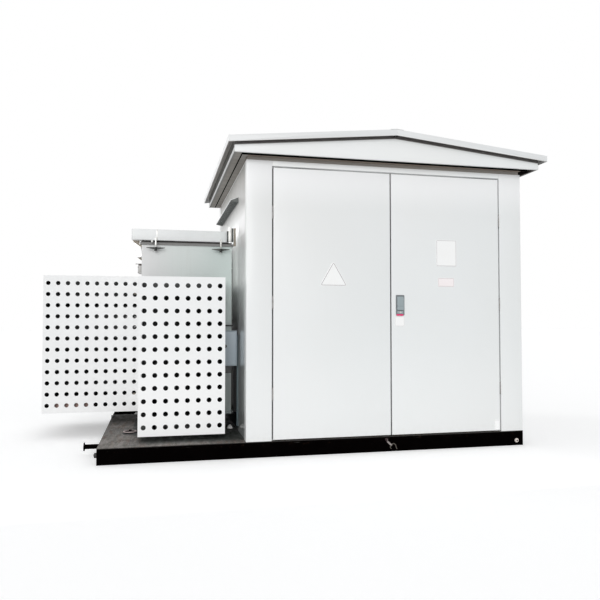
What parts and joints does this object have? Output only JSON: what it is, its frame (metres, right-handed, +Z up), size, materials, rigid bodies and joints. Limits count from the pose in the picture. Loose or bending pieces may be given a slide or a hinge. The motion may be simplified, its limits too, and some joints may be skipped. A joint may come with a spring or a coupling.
{
  "type": "compact substation",
  "caption": "Gabled sheet-metal substation cabin with a two-leaf front door beside an oil transformer with perforated radiator guards, all on one base frame.",
  "frame": {"origin": "on the ground at the middle of the base frame", "axes": "+X to the right seen from the doors, +Y from the doors to the rear, +Z up"},
  "size_m": [4.611, 2.752, 2.8343],
  "materials": {
    "base_paint": "black enamel, dusty, semi-gloss",
    "deck_plate": "worn grey-brown deck plate",
    "zinc": "dull zinc plating",
    "cabin_paint": "cool white powder coat, semi-gloss",
    "roof_paint": "cool white powder coat, weathered",
    "shade_paint": "grey primer-like finish under the eaves",
    "dark_mesh": "dark painted slats",
    "inner_zinc": "galvanised stiffeners",
    "hinge_steel": "dark plated steel",
    "lock_steel": "blue-grey painted lock",
    "tank_paint": "pale green-grey tank enamel",
    "rim_paint": "grey enamel with a dark gasket",
    "cover_paint": "light grey enamel",
    "gusset_paint": "dull brown-grey primer",
    "box_paint": "light blue-grey enamel",
    "black_plastic": "black moulded knob",
    "radiator_paint": "grey-green radiator enamel",
    "guard_paint": "white powder coat, satin"
  },
  "bodies": {
    "enclosure": {"base_long_channels": "base_paint", "base_end_channels": "base_paint", "base_cross_members": "base_paint", "bay_deck": "deck_plate", "bay_rear_plate": "base_paint", "deck_handle": "hinge_steel", "cabin_floor": "deck_plate", "lifting_pins": "base_paint", "earth_studs": "zinc", "earth_lug": "zinc", "front_post_left": "cabin_paint", "front_post_right": "cabin_paint", "rear_posts": "cabin_paint", "door_header": "cabin_paint", "left_wall": "cabin_paint", "right_wall": "cabin_paint", "rear_wall": "cabin_paint", "rear_header": "cabin_paint", "neck_frame_ends": "shade_paint", "neck_frame_sides": "shade_paint", "roof_soffit": "shade_paint", "fascia_front": "cabin_paint", "fascia_rear": "cabin_paint", "fascia_sides": "cabin_paint", "roof_pan_left": "roof_paint", "roof_pan_right": "roof_paint", "ridge_strip": "roof_paint", "vent_hoods": "cabin_paint", "vent_slats_set": "dark_mesh", "hinge_pins": "hinge_steel", "tank_skids": "base_paint", "tank_body": "tank_paint", "tank_rim": "rim_paint", "tank_cover": "cover_paint", "cover_clamps": "zinc", "cover_gussets": "gusset_paint", "throat": "tank_paint", "throat_flange": "zinc", "oil_valve": "tank_paint", "junction_box": "box_paint", "junction_box_knob": "black_plastic", "front_radiator": "radiator_paint", "left_radiators": "radiator_paint", "front_guard_panel": "guard_paint", "front_guard_sides": "guard_paint", "left_guard_panel": "guard_paint", "left_guard_end": "guard_paint", "left_guard_rear": "guard_paint", "guard_brackets": "gusset_paint"},
    "left_door": {"left_leaf": "cabin_paint", "left_leaf_ribs": "inner_zinc", "left_hinge_barrels": "hinge_steel"},
    "right_door": {"right_leaf": "cabin_paint", "right_leaf_ribs": "inner_zinc", "right_hinge_barrels": "hinge_steel", "lock_plate": "lock_steel", "lock_handle": "lock_steel"}
  },
  "joints": [
    {"name": "left_door_hinge", "type": "hinge", "parent": "enclosure", "child": "left_door", "pos_m": [-0.473, -1.2, 1.3], "axis": [0, 0, -1], "range_deg": [0, 110]},
    {"name": "right_door_hinge", "type": "hinge", "parent": "enclosure", "child": "right_door", "pos_m": [1.673, -1.2, 1.3], "axis": [0, 0, 1], "range_deg": [0, 110]}
  ]
}
